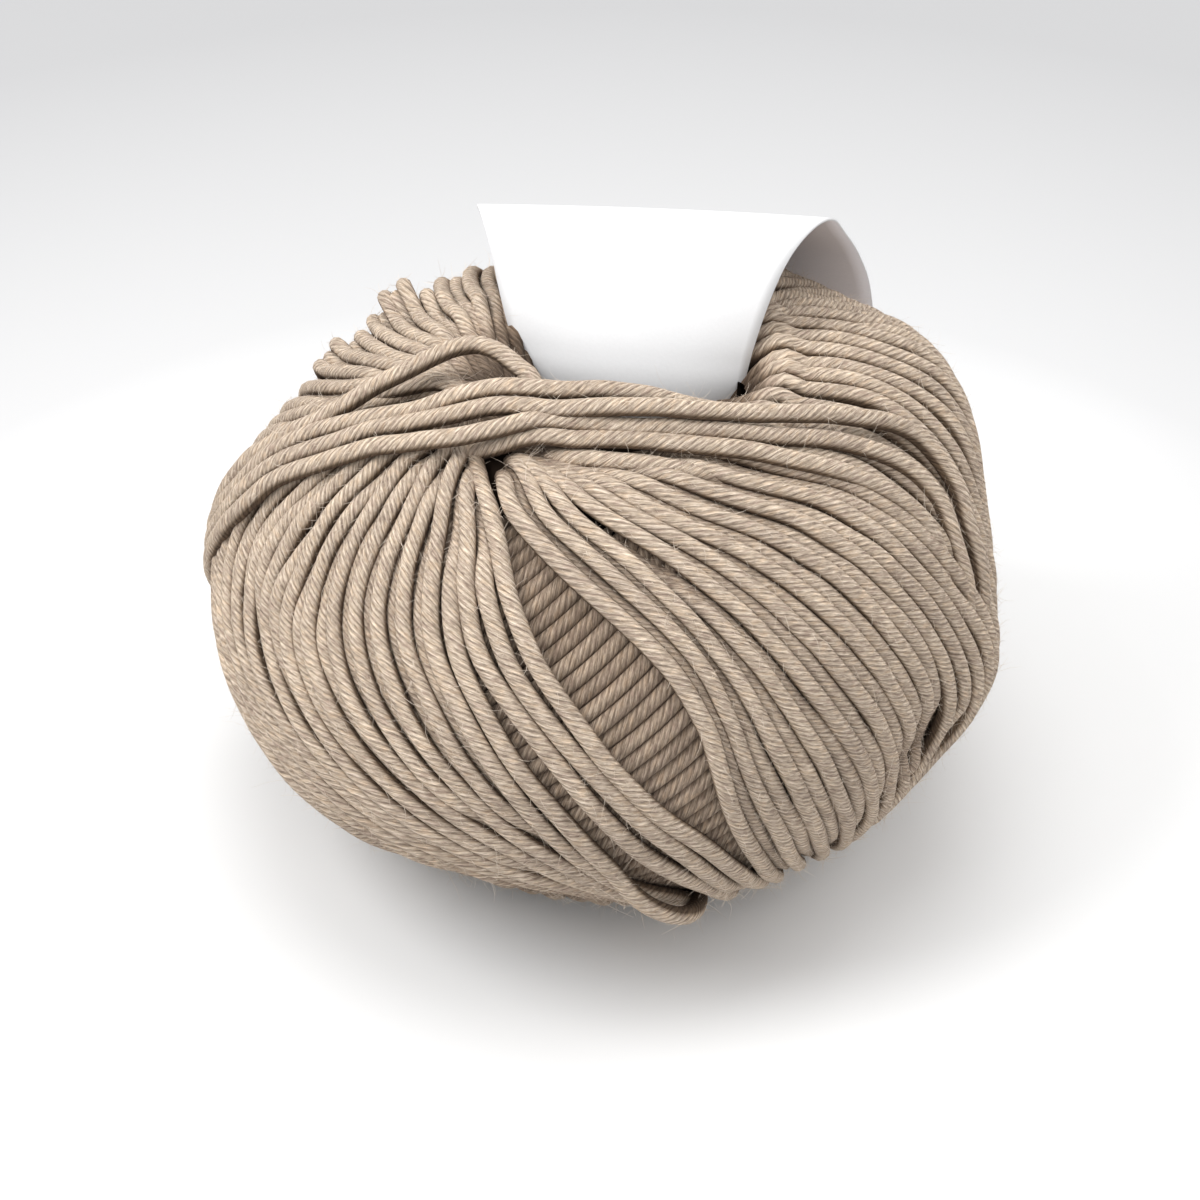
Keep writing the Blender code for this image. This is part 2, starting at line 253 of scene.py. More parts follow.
STEPS_UP = 96
THICKER_THAN_SPACING = 1.1
THINNEST = 0.88  # the share of its thickness that yarn keeps where strands crowd
CLOSEST = 0.4  # the least spacing that counts
LAYER_DEPTH = 1.6  # from one strand to the next below, where they crowd
DIVE_HIGH = 12  # the degrees over which a strand goes down under the last wraps
LOOSE_LOOP = {"latitude": -27.0, "high": 10.0, "lift": 2.6}
LOW_FUNNEL_DEPTH = 6.0
SMOOTHING_STEPS = 7

latitudes = np.linspace(LATITUDES[0], LATITUDES[-1], STEPS_UP)
guides = smooth_table(LATITUDES, np.array([row[5] for row in LAY], float).T, latitudes)
guides = np.column_stack((guides, guides[:, 0] + 360))
guide_names = [row[0] for row in LAY]
counts = np.cumsum([0] + [row[1] for row in LAY[1:]] + [LAY[0][1]])
numbers = np.arange(counts[-1])
azimuths = np.stack([np.interp(numbers, counts, guides[step]) for step in range(STEPS_UP)], axis=1)
top_sunk = np.interp(numbers, counts, [row[2] for row in LAY + LAY[:1]])[:, None]
top_from = np.interp(numbers, counts, [row[3] for row in LAY + LAY[:1]])[:, None]
crown_deep = np.interp(numbers, counts, [row[4] for row in LAY + LAY[:1]])
bare = on_ball(azimuths, latitudes[None, :])
along = unit(np.gradient(bare, axis=1))
aside = np.cross(outward(bare), along)
pitch = np.abs(np.sum((np.roll(bare, -1, axis=0) - bare) * aside, axis=2))
pitch = (pitch + np.roll(pitch, 1, axis=0)) / 2
thick = np.clip(THICKER_THAN_SPACING * pitch, THINNEST * YARN_THICK, YARN_THICK)

# Where strands crowd, four in turn lie at different depths.
crowded = np.clip(YARN_THICK / np.maximum(pitch, CLOSEST) - 1, 0, 2)
first_level = np.sqrt(1 - np.minimum(1, pitch / YARN_THICK) ** 2)
gap_side = counts[guide_names.index("right of gap")]
turn_of_four = (np.where(numbers >= gap_side, numbers - gap_side, gap_side - 1 - numbers) % 4)[:, None]
more = np.clip(crowded - 1, 0, 1)
level = np.select(
    [turn_of_four == 0, turn_of_four == 2, turn_of_four == 1],
    [0 * more, more, first_level + more],
    first_level + 2 * more,
)
smooth = np.exp(-np.linspace(-1.5, 1.5, SMOOTHING_STEPS) ** 2)
level = np.stack([
    np.convolve(np.pad(row, SMOOTHING_STEPS // 2, "edge"), smooth / smooth.sum(), "valid") for row in level
])

sunk = YARN_THICK / 2 + level * LAYER_DEPTH
sunk = sunk + top_sunk * ease(latitudes[None, :], top_from, top_from + DIVE_HIGH)
sunk += wander(len(numbers), STEPS_UP, size=0.16, wave=40)
sunk += dent_depth(azimuths, latitudes[None, :], DENTS)
off_loop = (latitudes - LOOSE_LOOP["latitude"]) / LOOSE_LOOP["high"]
sunk[counts[guide_names.index("loose loop")]] -= LOOSE_LOOP["lift"] * np.exp(-(off_loop**2))
shift = wander(len(numbers), STEPS_UP, size=0.13, wave=50)
middle = on_ball(azimuths, latitudes[None, :], sunk) + aside * shift[..., None]
top_end = over_crown(middle[:, -1], middle[:, -1] - middle[:, -4], 1, crown_deep)
low_end = over_crown(middle[:, 0], middle[:, 0] - middle[:, 3], -1, LOW_FUNNEL_DEPTH)[:, ::-1]
outer = np.concatenate((low_end, middle, top_end), axis=1)
outer_thick = np.concatenate(
    (np.repeat(thick[:, :1], CROWN_STEPS, 1), thick, np.repeat(thick[:, -1:], CROWN_STEPS, 1)), axis=1
)

# The strands on top are pressed down beside the label's right edge, and under the last wraps.
PRESSED = (
    # place on the plan, how far sideways and back, and how deep
    (14.4, 0.3, 3.9, 4.3, 5.2),
    (-11.9, -14.9, 1.8, 4.1, 4.3),
)
for x, y, wide, back, deep in PRESSED:
    press = deep * np.exp(-(((outer[..., 0] - x) / wide) ** 2) - ((outer[..., 1] - y) / back) ** 2)
    outer[..., 2] -= press * (outer[..., 2] > 0)
outer[..., 2] = np.maximum(outer[..., 2], REST_LEVEL + YARN_THICK / 2)


class Maths:
    """A socket in a material's maths, so that sums on it are written as in Python."""

    def __init__(self, nodes, socket):
        self.nodes, self.socket = nodes, socket

    def do(self, operation, *others):
        return self.nodes.add("ShaderNodeMath", {"operation": operation}, [self, *others])

    def __add__(self, other):
        return self.do("ADD", other)

    def __mul__(self, other):
        return self.do("MULTIPLY", other)

    __radd__, __rmul__ = __add__, __mul__


class Finish:
    """A material of one Principled shader, and the nodes that feed it."""

    def __init__(self, name, settings):
        self.material = bpy.data.materials.new(name)
        self.material.use_nodes = True
        self.tree = self.material.node_tree
        self.shader = self.tree.nodes["Principled BSDF"]
        for socket, value in settings.items():
            self.feed(self.shader.inputs[socket], value)

    def feed(self, socket, value):
        value = getattr(value, "socket", value)
        if isinstance(value, bpy.types.NodeSocket):
            self.tree.links.new(value, socket)
        else:
            socket.default_value = value

    def add(self, kind, settings, values, output=0):
        """Adds a node, with its settings first and then the values or links of its sockets."""
        node = self.tree.nodes.new(kind)
        for name, value in settings.items():
            if name == "stops":
                ramp = node.color_ramp
                while len(ramp.elements) < len(value):
                    ramp.elements.new(0.5)
                for element, (place, colour) in zip(ramp.elements, value):
                    element.position, element.color = place, (*colour, 1)
            else:
                setattr(node, name, value)
        pairs = values.items() if isinstance(values, dict) else enumerate(values)
        for socket, value in pairs:
            self.feed(node.inputs[socket], value)
        return Maths(self, node.outputs[output])

    def split(self, vector):
        node = self.add("ShaderNodeSeparateXYZ", {}, [vector]).socket.node
        return [Maths(self, socket) for socket in node.outputs]

    def join(self, x, y, z):
        return self.add("ShaderNodeCombineXYZ", {}, [x, y, z])

    def shaded(self, colour, shade):
        """One colour times another."""
        settings = {"data_type": "RGBA", "blend_type": "MULTIPLY"}
        return self.add("ShaderNodeMix", settings, {0: 1.0, 6: colour, 7: shade}, 2)


wool = Finish("wool_yarn", {"Roughness": 0.9, "Specular IOR Level": 0.25})
PLIES = 8
PLY_LEAD = 7.4  # millimetres of yarn to one turn of its plies
length, turn, _ = wool.split(wool.add("ShaderNodeTexCoord", {}, {}, "UV"))
twist = turn + length * (1 / PLY_LEAD)
round_x, round_y = (twist * math.tau).do("COSINE"), (twist * math.tau).do("SINE")
fleck = wool.add(
    "ShaderNodeTexNoise", {},
    {
        "Vector": wool.join(length * 0.5, round_x * 0.7, round_y * 0.7),
        "Scale": 1.6, "Detail": 3.0, "Roughness": 0.6,
    },
)
fibre = wool.add(
    "ShaderNodeTexNoise", {},
    {
        "Vector": wool.join(length * 0.8, round_x * 4.4, round_y * 4.4),
        "Scale": 1.3, "Detail": 4.0, "Roughness": 0.68,
    },
)
slow = wool.add(
    "ShaderNodeTexNoise", {},
    {
        "Vector": wool.join(length * 0.045, round_x * 0.1, round_y * 0.1),
        "Scale": 1.0, "Detail": 2.0, "Roughness": 0.6,
    },
)
ply = ((twist + fibre * 0.05 + fleck * 0.04) * (math.pi * PLIES)).do("SINE").do("ABSOLUTE")

# The wool's colours: fibre streaks, partly their own light and dark colours and partly painted highlight
# and shade, painted shade in the lines between the plies, warmer and cooler flecks, and slow changes of
# tone along the yarn.
shade = wool.add(
    "ShaderNodeValToRGB",
    {"stops": [
        (0.34, (0.185, 0.144, 0.11)), (0.46, (0.327, 0.268, 0.211)),
        (0.56, (0.473, 0.394, 0.316)), (0.70, (0.75, 0.655, 0.55)),
    ]},
    [ply * 0.14 + fibre * 0.86],
)
tint = wool.add(
    "ShaderNodeValToRGB",
    {"stops": [(0.34, (0.82, 0.76, 0.75)), (0.5, (1.0, 0.99, 0.975)), (0.66, (1.1, 1.025, 0.95))]},
    [fleck],
)
tone = wool.add(
    "ShaderNodeValToRGB", {"stops": [(0.35, (0.9, 0.885, 0.88)), (0.65, (1.1, 1.09, 1.07))]}, [slow]
)

# Painted shade: yarn is drawn darker the deeper it lies in the grooves, and on the flanks of each strand,
# where shade falls.
from_middle = wool.add(
    "ShaderNodeVectorMath", {"operation": "SUBTRACT"},
    {0: wool.add("ShaderNodeTexCoord", {}, {}, "Object"), 1: ball_centre * MM},
)
depth = wool.add(
    "ShaderNodeVectorMath", {"operation": "LENGTH"},
    {0: wool.add(
        "ShaderNodeVectorMath", {"operation": "MULTIPLY"},
        {0: from_middle, 1: np.array((1 / BALL_RADIUS, 1 / BALL_RADIUS, 1 / BALL_HALF_HEIGHT)) / MM},
    )}, "Value",
)
painted_groove_shade = wool.add(
    "ShaderNodeValToRGB",
    {"stops": [
        (0.90, (0.20, 0.17, 0.15)), (0.94, (0.45, 0.41, 0.38)),
        (0.960, (0.80, 0.77, 0.75)), (0.982, (1.0, 1.0, 1.0)),
    ]},
    [depth],
)
outwards = wool.add(
    "ShaderNodeVectorMath", {"operation": "NORMALIZE"},
    {0: wool.add(
        "ShaderNodeVectorMath", {"operation": "MULTIPLY"},
        {0: from_middle, 1: (1, 1, (BALL_RADIUS / BALL_HALF_HEIGHT) ** 2)},
    )},
)
facing = wool.add(
    "ShaderNodeVectorMath", {"operation": "DOT_PRODUCT"},
    {0: outwards, 1: wool.add("ShaderNodeTexCoord", {}, {}, "Normal")}, "Value",
)
# Painted shade: strands are darker on their flanks, which turn away from the outside of the ball.
painted_flank_shade = wool.add(
    "ShaderNodeValToRGB",
    {"stops": [(0.02, (0.26, 0.22, 0.185)), (0.2, (0.58, 0.54, 0.50)), (0.5, (1.0, 1.0, 1.0))]},
    [facing],
)
colour = shade
for layer in (tint, tone, painted_groove_shade, painted_flank_shade):
    colour = wool.shaded(colour, layer)
wool.feed(wool.shader.inputs["Base Color"], colour)
wool.feed(wool.shader.inputs["Normal"], wool.add(
    "ShaderNodeBump", {}, {"Strength": 0.65, "Distance": 0.0004, "Height": ply * 0.35 + fibre * 1.0}
))

YARN_ENDS = (0.05, 0.7)  # the shares of its thickness at the last two points of a strand
PATTERN_SHIFT = 37.0  # millimetres along the pattern from one strand to the next


def spin_yarn(name, strands, thicks, sides_half):
    """Makes round yarn along the middle lines of several strands."""
    curve = bpy.data.curves.new(name, "CURVE")
    curve.dimensions = "3D"
    curve.bevel_depth = YARN_THICK / 2 * MM
    curve.bevel_resolution = sides_half - 2
    for middle_line, thick_line in zip(strands, thicks):
        spline = curve.splines.new("POLY")
        spline.points.add(len(middle_line) - 1)
        places = np.column_stack(((middle_line + ball_centre) * MM, np.ones(len(middle_line))))
        spline.points.foreach_set("co", places.astype(np.float32).ravel())
        ends = np.ones(len(middle_line))
        ends[0] = ends[-1] = YARN_ENDS[0]
        ends[1] = ends[-2] = YARN_ENDS[1]
        radius = np.asarray(thick_line) / YARN_THICK * ends
        spline.points.foreach_set("radius", radius.astype(np.float32))
    piece = bpy.data.objects.new(name, curve)
    bpy.context.scene.collection.objects.link(piece)
    bpy.ops.object.select_all(action="DESELECT")
    piece.select_set(True)
    bpy.context.view_layer.objects.active = piece
    bpy.ops.object.convert(target="MESH")
    piece = bpy.context.object
    piece.data.shade_smooth()
    uses = np.empty(len(piece.data.loops), np.int32)
    piece.data.loops.foreach_get("vertex_index", uses)
    around = 2 * sides_half
    owner = np.repeat(np.arange(len(strands)), [len(line) * around for line in strands])[uses]
    lengths = np.array([np.linalg.norm(np.diff(line, axis=0), axis=1).sum() for line in strands])
    spot = np.empty(len(uses) * 2, np.float32)
    piece.data.uv_layers[0].data.foreach_get("uv", spot)
    spot[0::2] = spot[0::2] * lengths[owner] + PATTERN_SHIFT * owner
    piece.data.uv_layers[0].data.foreach_set("uv", spot)
    piece.data.materials.append(wool.material)
    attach(piece, "root")
    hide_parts("yarn_ball")


for number, part in enumerate(np.array_split(np.arange(len(outer)), 3)):
    spin_yarn(f"outer_strands_{number + 1}", outer[part], outer_thick[part], sides_half=5)

# The inner strands: the layer of the same yarn that was laid just before, at another slant. It
# shows in the open gap at the front, and the strands over it hold it down.
UNDER_STRANDS = 88
UNDER_STEPS = 60
UNDER_DEPTH = 1.42  # in thicknesses of the yarn, as is the next
UNDER_THICK = 0.95
under_latitudes = np.linspace(-68, 56, UNDER_STEPS)
under_azimuths = np.arange(UNDER_STRANDS)[:, None] * 360 / UNDER_STRANDS + under_latitudes[None, :]
under_sunk = YARN_THICK * UNDER_DEPTH + wander(UNDER_STRANDS, UNDER_STEPS, size=0.12, wave=30)
only_dents = [row for row in DENTS if row[4] > 0]
under_sunk += dent_depth(under_azimuths, under_latitudes[None, :], only_dents)
under = on_ball(under_azimuths, under_latitudes[None, :], under_sunk)
under[..., 2] = np.maximum(under[..., 2], REST_LEVEL + YARN_THICK)
spin_yarn("inner_strands", under, np.full(under.shape[:2], YARN_THICK * UNDER_THICK), sides_half=4)

# The last wraps: the yarn's last turns, which come up the left side together, cross the front
# of the funnel and part again on the right. They lie loose over the other strands.
LAST_WRAPS = {
    # azimuth, latitude and lift off the ball
    "arch": (
        (140, -48, 0.4), (150, -32, 0.7), (158, -18, 0.8), (164, -6, 0.6), (169, 4, 0.5),
        (174, 12, 0.5), (178, 19, 0.6), (179.8, 26, 0.9), (181.6, 31.4, 1.2), (183.6, 36.4, 1.3),
        (185.6, 41.2, 1.4), (187.6, 45.4, 1.5), (189.1, 49.2, 1.6), (190.2, 52.9, 1.8),
        (190.6, 56.7, 2), (191.6, 60.5, 2.2), (191.6, 64.1, 2.4), (189.7, 67.5, 2.4),
        (187.6, 69.8, 2.2), (188.6, 72.8, 1.8), (197.2, 75.2, 1.2), (210.7, 76.3, 0.6),
        (223.8, 76.2, 0), (248, 72, -1.5), (265, 70, -3),
    ),
    "top": (
        (144, -48, 0.3), (154, -32, 0.6), (162, -18, 0.7), (168, -6, 0.5), (172.5, 4, 0.4),
        (177, 13, 0.4), (181.5, 22, 0.6), (184, 29.6, 1), (184.8, 34.1, 1), (187.1, 39.4, 1),
        (189.9, 44.5, 1), (193.3, 49, 1.1), (197.5, 53.1, 1.3), (202.2, 56.6, 1.5),
        (206.5, 60, 1.7), (209.9, 63, 1.9), (213, 65.6, 2.1), (217.8, 68.3, 2.3),
        (225.3, 70.6, 2.4), (236.8, 72.4, 2.4), (249.7, 73.6, 2.3), (268.4, 74.6, 2.1),
        (287.7, 73.9, 1.7), (300.7, 72.3, 1.1), (312.2, 70, 0.3), (321.8, 67, -0.6),
        (322, 66, -1.6), (336, 60, -2.4), (344, 52, -3),
    ),
    "middle": (
        (148, -48, 0.2), (158, -32, 0.5), (165, -18, 0.6), (171, -6, 0.4), (175.5, 4, 0.3),
        (180, 13, 0.3), (184, 22, 0.5), (187.4, 30.1, 0.9), (188.7, 34.9, 0.9), (191.5, 39.8, 0.9),
        (194.4, 44.1, 0.9), (197.2, 47.6, 1), (199.1, 50.6, 1), (202.7, 54.4, 1.1),
        (207.4, 57.6, 1.2), (212.3, 60.6, 1.3), (217.3, 63.5, 1.4), (222.8, 66.2, 1.5),
        (229.8, 68.5, 1.7), (238.5, 70, 1.9), (248.9, 70.4, 2.2), (260.8, 70.9, 2.4),
        (276.5, 70.8, 2.6), (291.4, 69.7, 2.6), (304.9, 67.8, 2.3), (316.9, 65.2, 1.9),
        (326.9, 61.7, 1.7), (334.8, 57.5, 1.6), (339.9, 53.9, 1.5), (344.2, 49.9, 1.4),
        (347.2, 46.2, 1.3), (348.9, 42.6, 1.2), (349, 38.7, 1.1), (348.3, 34.4, 1),
        (346.9, 30.2, 0.9), (345, 26.4, 0.7), (344, 19, 0.3), (343.5, 10, -0.4), (343, 0, -1.4),
        (343, -10, -2.6),
    ),
    "low": (
        (152, -48, 0.1), (162, -32, 0.4), (168.5, -18, 0.5), (174, -6, 0.3), (178.5, 3, 0.2),
        (183, 12, 0.2), (187.5, 21, 0.5), (191.6, 29.8, 0.8), (192.8, 35.1, 0.8),
        (196.2, 40.9, 0.8), (199.8, 45, 0.8), (203.4, 48.8, 0.9), (207.4, 52.2, 1),
        (212.2, 55.2, 1.1), (217.4, 57.9, 1.2), (223.2, 60.4, 1.3), (229.4, 62.8, 1.5),
        (235.5, 65.2, 1.7), (241, 67.3, 1.8), (248.5, 69.2, 1.4), (259, 69.9, 0.9),
        (272.6, 69.7, 0.6), (291.2, 68.5, 0.6), (304, 66.2, 0.5), (314.7, 63.2, 0.4),
        (323.5, 59.5, 0.4), (330.9, 55.3, 0.4), (336.5, 50.3, 0.4), (340, 45.9, 0.4),
        (341.8, 41.5, 0.4), (342.5, 37.1, 0.3), (342.4, 32.6, 0.2), (341.1, 27, 0), (340, 19, -0.3),
        (339.5, 10, -1.4), (339, 2, -2.6),
    ),
    "lowest": (
        (216, 58.5, -3.4), (222.6, 60.9, -2.6), (228.7, 63, -1.8), (235.4, 64.7, -0.9),
        (241.2, 66, -0.2), (249.3, 67.2, 0.2), (258, 67.8, 0.1), (268.8, 68.1, 0.1),
        (283, 67.4, 0.2), (295.7, 65.5, 0.1), (306.4, 62.6, 0), (315.1, 59.1, 0), (322.3, 54.9, 0),
        (328.3, 50.1, 0), (332, 45.9, 0), (334.9, 40.9, -0.1), (336.7, 36.1, -0.3),
        (337.4, 30.8, -0.6), (337.2, 25.2, -1.2), (336.5, 18, -2.6),
    ),
    "shaded": (
        (246, 66.8, -3.4), (254, 66.4, -2.2), (264, 65.8, -1.4), (278, 65, -1.3), (290, 63, -1.4),
        (302, 60, -1.8), (312, 56, -2.6),
    ),
}


def laid(rows, spacing=0.9):
    """A smooth line through rows of azimuth, latitude and lift, in even steps."""
    rows = np.array(rows, float)
    fine = smooth_table(range(len(rows)), rows, np.linspace(0, len(rows) - 1, 16 * len(rows)))
    line = on_ball(fine[:, 0], fine[:, 1], -fine[:, 2])
    run = np.concatenate(([0], np.cumsum(np.linalg.norm(np.diff(line, axis=0), axis=1))))
    even = np.arange(0, run[-1], spacing)
    return np.stack([np.interp(even, run, line[:, axis]) for axis in range(3)], axis=1)


wraps = [laid(rows) for rows in LAST_WRAPS.values()]
for line in wraps:
    line += wander(3, len(line), size=0.12, wave=30).T
    line[:, 2] = np.maximum(line[:, 2], REST_LEVEL + YARN_THICK / 2)
spin_yarn("last_wraps", wraps, [np.full(len(line), YARN_THICK) for line in wraps], sides_half=5)

# The fuzz: short wool fibres that have worked loose from the twist of the yarn and stand off it.
# Each is a thin strip with one bend, rooted just under the yarn's surface.
FUZZ_COUNT = 30000
FUZZ_WIDTH = 0.045
FUZZ_STEPS = 4
FUZZ_TIP = 0.3  # the share of its width that a fibre keeps at its tip
FUZZ_ROOT = 0.44  # in thicknesses of the yarn from its middle
FUZZ_OFF_TABLE = 0.05
shown = slice(CROWN_STEPS - 6, 8 - CROWN_STEPS)  # the strands without their ends in the funnels
carriers = np.concatenate([outer[:, shown].reshape(-1, 3)] + wraps)
headings = unit(np.concatenate(
    [np.gradient(outer, axis=1)[:, shown].reshape(-1, 3)] + [np.gradient(line, axis=0) for line in wraps]
))
one_each = (FUZZ_COUNT, 1)
picked = chance.integers(0, len(carriers), FUZZ_COUNT)
root, heading = carriers[picked], headings[picked] * chance.choice((-1.0, 1.0), one_each)
lift = outward(root)
sideways = unit(np.cross(heading, lift))
lean = chance.uniform(-1.2, 1.2, one_each)
stand = unit(lift * np.cos(lean) + sideways * np.sin(lean))
root = root + stand * YARN_THICK * FUZZ_ROOT
reach = chance.gamma(3.0, 0.45, one_each)
start_way = unit(
    heading + stand * chance.uniform(0.15, 0.7, one_each) + sideways * chance.normal(0, 0.5, one_each)
)
curve_way = unit(
    stand * chance.normal(0.1, 0.6, one_each) + sideways * chance.normal(0, 0.8, one_each) - heading * 0.3
)
fibre_line = np.stack(
    [
        root + start_way * reach * share + curve_way * reach * 0.5 * share**2
        for share in np.linspace(0, 1, FUZZ_STEPS)
    ],
    axis=1,
)
across = unit(np.cross(start_way, unit(chance.normal(0, 1, (FUZZ_COUNT, 3)))))[:, None, :]
half_width = across * np.linspace(1, FUZZ_TIP, FUZZ_STEPS)[None, :, None] * FUZZ_WIDTH / 2
edges = np.stack((fibre_line - half_width, fibre_line + half_width), axis=2)
edges[..., 2] = np.maximum(edges[..., 2], REST_LEVEL + FUZZ_OFF_TABLE)
first = (np.arange(FUZZ_COUNT) * FUZZ_STEPS * 2)[:, None] + np.arange(FUZZ_STEPS - 1)[None, :] * 2
quads = np.stack((first, first + 1, first + 3, first + 2), axis=-1).reshape(-1, 4)
fuzz_mesh = bpy.data.meshes.new("wool_fuzz")
fuzz_mesh.from_pydata(((edges.reshape(-1, 3) + ball_centre) * MM).tolist(), [], quads.tolist())
fuzz = bpy.data.objects.new("wool_fuzz", fuzz_mesh)
bpy.context.scene.collection.objects.link(fuzz)
loose = Finish("loose_fibre", {
    "Base Color": (0.62, 0.53, 0.44, 1), "Roughness": 0.9, "Specular IOR Level": 0.2,
})
fuzz_mesh.materials.append(loose.material)
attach(fuzz, "root")
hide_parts("yarn_ball")

# The imported core: the hidden layers of the same yarn, drawn near black as painted shade, which show
# only as darkness in the deepest grooves. It is the solid ball, drawn in under the strands and pressed down
# with them.
CORE_INSET = 4.4
CORE_PRESS_WIDER = 1.3
MERGE_WITHIN = 0.00002
bpy.ops.object.select_all(action="DESELECT")
core_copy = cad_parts["yarn_ball"].copy()
core_copy.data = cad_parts["yarn_ball"].data.copy()
core_copy.name = "packed_core"
for key in list(core_copy.keys()):
    del core_copy[key]
bpy.context.scene.collection.objects.link(core_copy)
core_copy.parent = None
core_copy.hide_render = core_copy.hide_viewport = False
bpy.context.view_layer.objects.active = core_copy
core_copy.select_set(True)
bpy.ops.object.mode_set(mode="EDIT")
bpy.ops.mesh.select_all(action="SELECT")
bpy.ops.mesh.remove_doubles(threshold=MERGE_WITHIN)
bpy.ops.mesh.normals_make_consistent(inside=False)
bpy.ops.object.mode_set(mode="OBJECT")
spots = np.empty(len(core_copy.data.vertices) * 3, np.float32)
core_copy.data.vertices.foreach_get("co", spots)
normals = np.empty(len(core_copy.data.vertices) * 3, np.float32)
core_copy.data.vertices.foreach_get("normal", normals)
spots, normals = spots.reshape(-1, 3), normals.reshape(-1, 3)
from_centre = spots / MM - ball_centre
core_azimuths = np.degrees(np.arctan2(from_centre[:, 1], from_centre[:, 0]))
core_latitudes = np.degrees(np.arcsin(np.clip(from_centre[:, 2] / BALL_HALF_HEIGHT, -1, 1)))
core_sunk = CORE_INSET + dent_depth(core_azimuths, core_latitudes, only_dents)
spots = spots - normals * core_sunk[:, None] * MM
x, y, wide, _, deep = PRESSED[0]
off = spots[:, :2] / MM - ball_centre[:2] - (x, y)
press = deep * np.exp(-np.sum(off**2, axis=1) / (CORE_PRESS_WIDER * wide) ** 2)
spots[:, 2] -= press * MM * (spots[:, 2] > ball_centre[2] * MM)
core_copy.data.vertices.foreach_set("co", spots.ravel())
core_copy.data.shade_smooth()
# Painted shade: the core's near-black colour stands for the shade deep inside the ball, not the yarn's own
# colour.
core_painted_shade = Finish("packed_yarn_painted_shade", {
    "Base Color": (0.022, 0.015, 0.011, 1), "Roughness": 1.0, "Specular IOR Level": 0.0,
})
core_copy.data.materials.clear()
core_copy.data.materials.append(core_painted_shade.material)
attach(core_copy, "root")
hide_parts("yarn_ball")

# The paper label: one strip of smooth coated paper, pushed through the ball's hole, brought over
# the rim and round the back, and joined to itself as a closed band. In the hole its edges curl.
LABEL_SHIFT_X = 3.6
LABEL_TURN = 12.0
LABEL_ROLL = 4.3
LABEL_ROLL_HEIGHTS = (20, 42)  # where the roll starts and where it is whole
LABEL_SETTLE = 2.1
LABEL_FLAT_BEND = 2.0
LABEL_FULL_CURL = {"deep": 7.0, "bend": 100.0}
LABEL_ROUND, LABEL_ACROSS = 240, 24
LABEL_LAP = 3  # the rows that are repeated so that the curve through them closes
LABEL_STEP_AHEAD = 0.002  # the share of the way round over which its direction is read
PAPER_THICK = 0.3
LABEL = (
    # depth, height, width, curl of the edges, and shift to the right
    (0.5, 0.0, 22, 7.0, 0), (0.5, 14.0, 22.5, 6.0, 0), (0.9, 25.0, 25.1, 3.2, -0.9),
    (2.8, 31.0, 27.7, 2.4, -1.5), (6.2, 36.6, 31, 1.4, -1.8), (10.2, 40.8, 34.5, 0.7, -1.9),
    (14.6, 42.6, 38.5, 0.4, -1.9), (19.6, 41.4, 42, 0.3, -1.9), (26.4, 35.4, 43.5, 0.2, -1.9),
    (35.0, 27.0, 44, 0.0, -1.5), (43.6, 17.0, 44, 0.0, -1.0), (48.0, 5.0, 44, 0.0, -0.6),
    (47.6, -8.0, 44, 0.0, -0.3), (42.4, -19.0, 44, 0.0, 0), (32.0, -26.0, 42, 0.0, 0),
    (19.5, -29.4, 31, 0.0, 0), (9.0, -28.8, 24, 0.4, 0), (2.0, -20.0, 22, 4.0, 0),
    (0.5, -10.0, 22, 7.0, 0),
)
closed_rows = np.array(LABEL[-LABEL_LAP:] + LABEL + LABEL[: LABEL_LAP + 1], float)


def label_rows(share):
    """The label's rows at shares of the way round it."""
    places = LABEL_LAP + np.asarray(share) * len(LABEL)
    return smooth_table(np.arange(len(closed_rows)), closed_rows, places)


share = np.arange(LABEL_ROUND) / LABEL_ROUND
row = label_rows(share)
ahead = label_rows((share + LABEL_STEP_AHEAD) % 1)
way = unit(np.column_stack((np.zeros(LABEL_ROUND), ahead[:, 0] - row[:, 0], ahead[:, 1] - row[:, 1])))
inward = np.column_stack((np.zeros(LABEL_ROUND), way[:, 2], -way[:, 1]))
curl = np.maximum(row[:, 3], 0)
bend = np.radians(
    np.maximum(LABEL_FLAT_BEND, LABEL_FULL_CURL["bend"] * np.minimum(1, curl / LABEL_FULL_CURL["deep"]))
)
across = np.linspace(-1, 1, LABEL_ACROSS + 1)
widest = np.sin(np.minimum(bend, np.pi / 2))
x = (row[:, 2] / 2 / widest)[:, None] * np.sin(bend[:, None] * across)
back = (curl / (1 - np.cos(bend)))[:, None] * (1 - np.cos(bend[:, None] * across))
flat = np.stack((x, np.repeat(row[:, :1], len(across), 1), np.repeat(row[:, 1:2], len(across), 1)), axis=-1)
flat += inward[:, None, :] * back[..., None]
flat[..., 0] += row[:, 4:5]
rolled = flat[..., 0] * math.tan(math.radians(LABEL_ROLL)) - LABEL_SETTLE
flat[..., 2] += rolled * ease(flat[..., 2], *LABEL_ROLL_HEIGHTS)
turned = math.radians(-LABEL_TURN)
label_places = np.stack(
    (
        LABEL_SHIFT_X + flat[..., 0] * math.cos(turned) - flat[..., 1] * math.sin(turned),
        flat[..., 0] * math.sin(turned) + flat[..., 1] * math.cos(turned),
        np.maximum(flat[..., 2], REST_LEVEL + PAPER_THICK / 2),
    ),
    axis=-1,
)
wide = len(across)
faces = [
    (a * wide + b, a * wide + b + 1, (a + 1) % LABEL_ROUND * wide + b + 1, (a + 1) % LABEL_ROUND * wide + b)
    for a in range(LABEL_ROUND)
    for b in range(LABEL_ACROSS)
]
label_mesh = bpy.data.meshes.new("label_band")
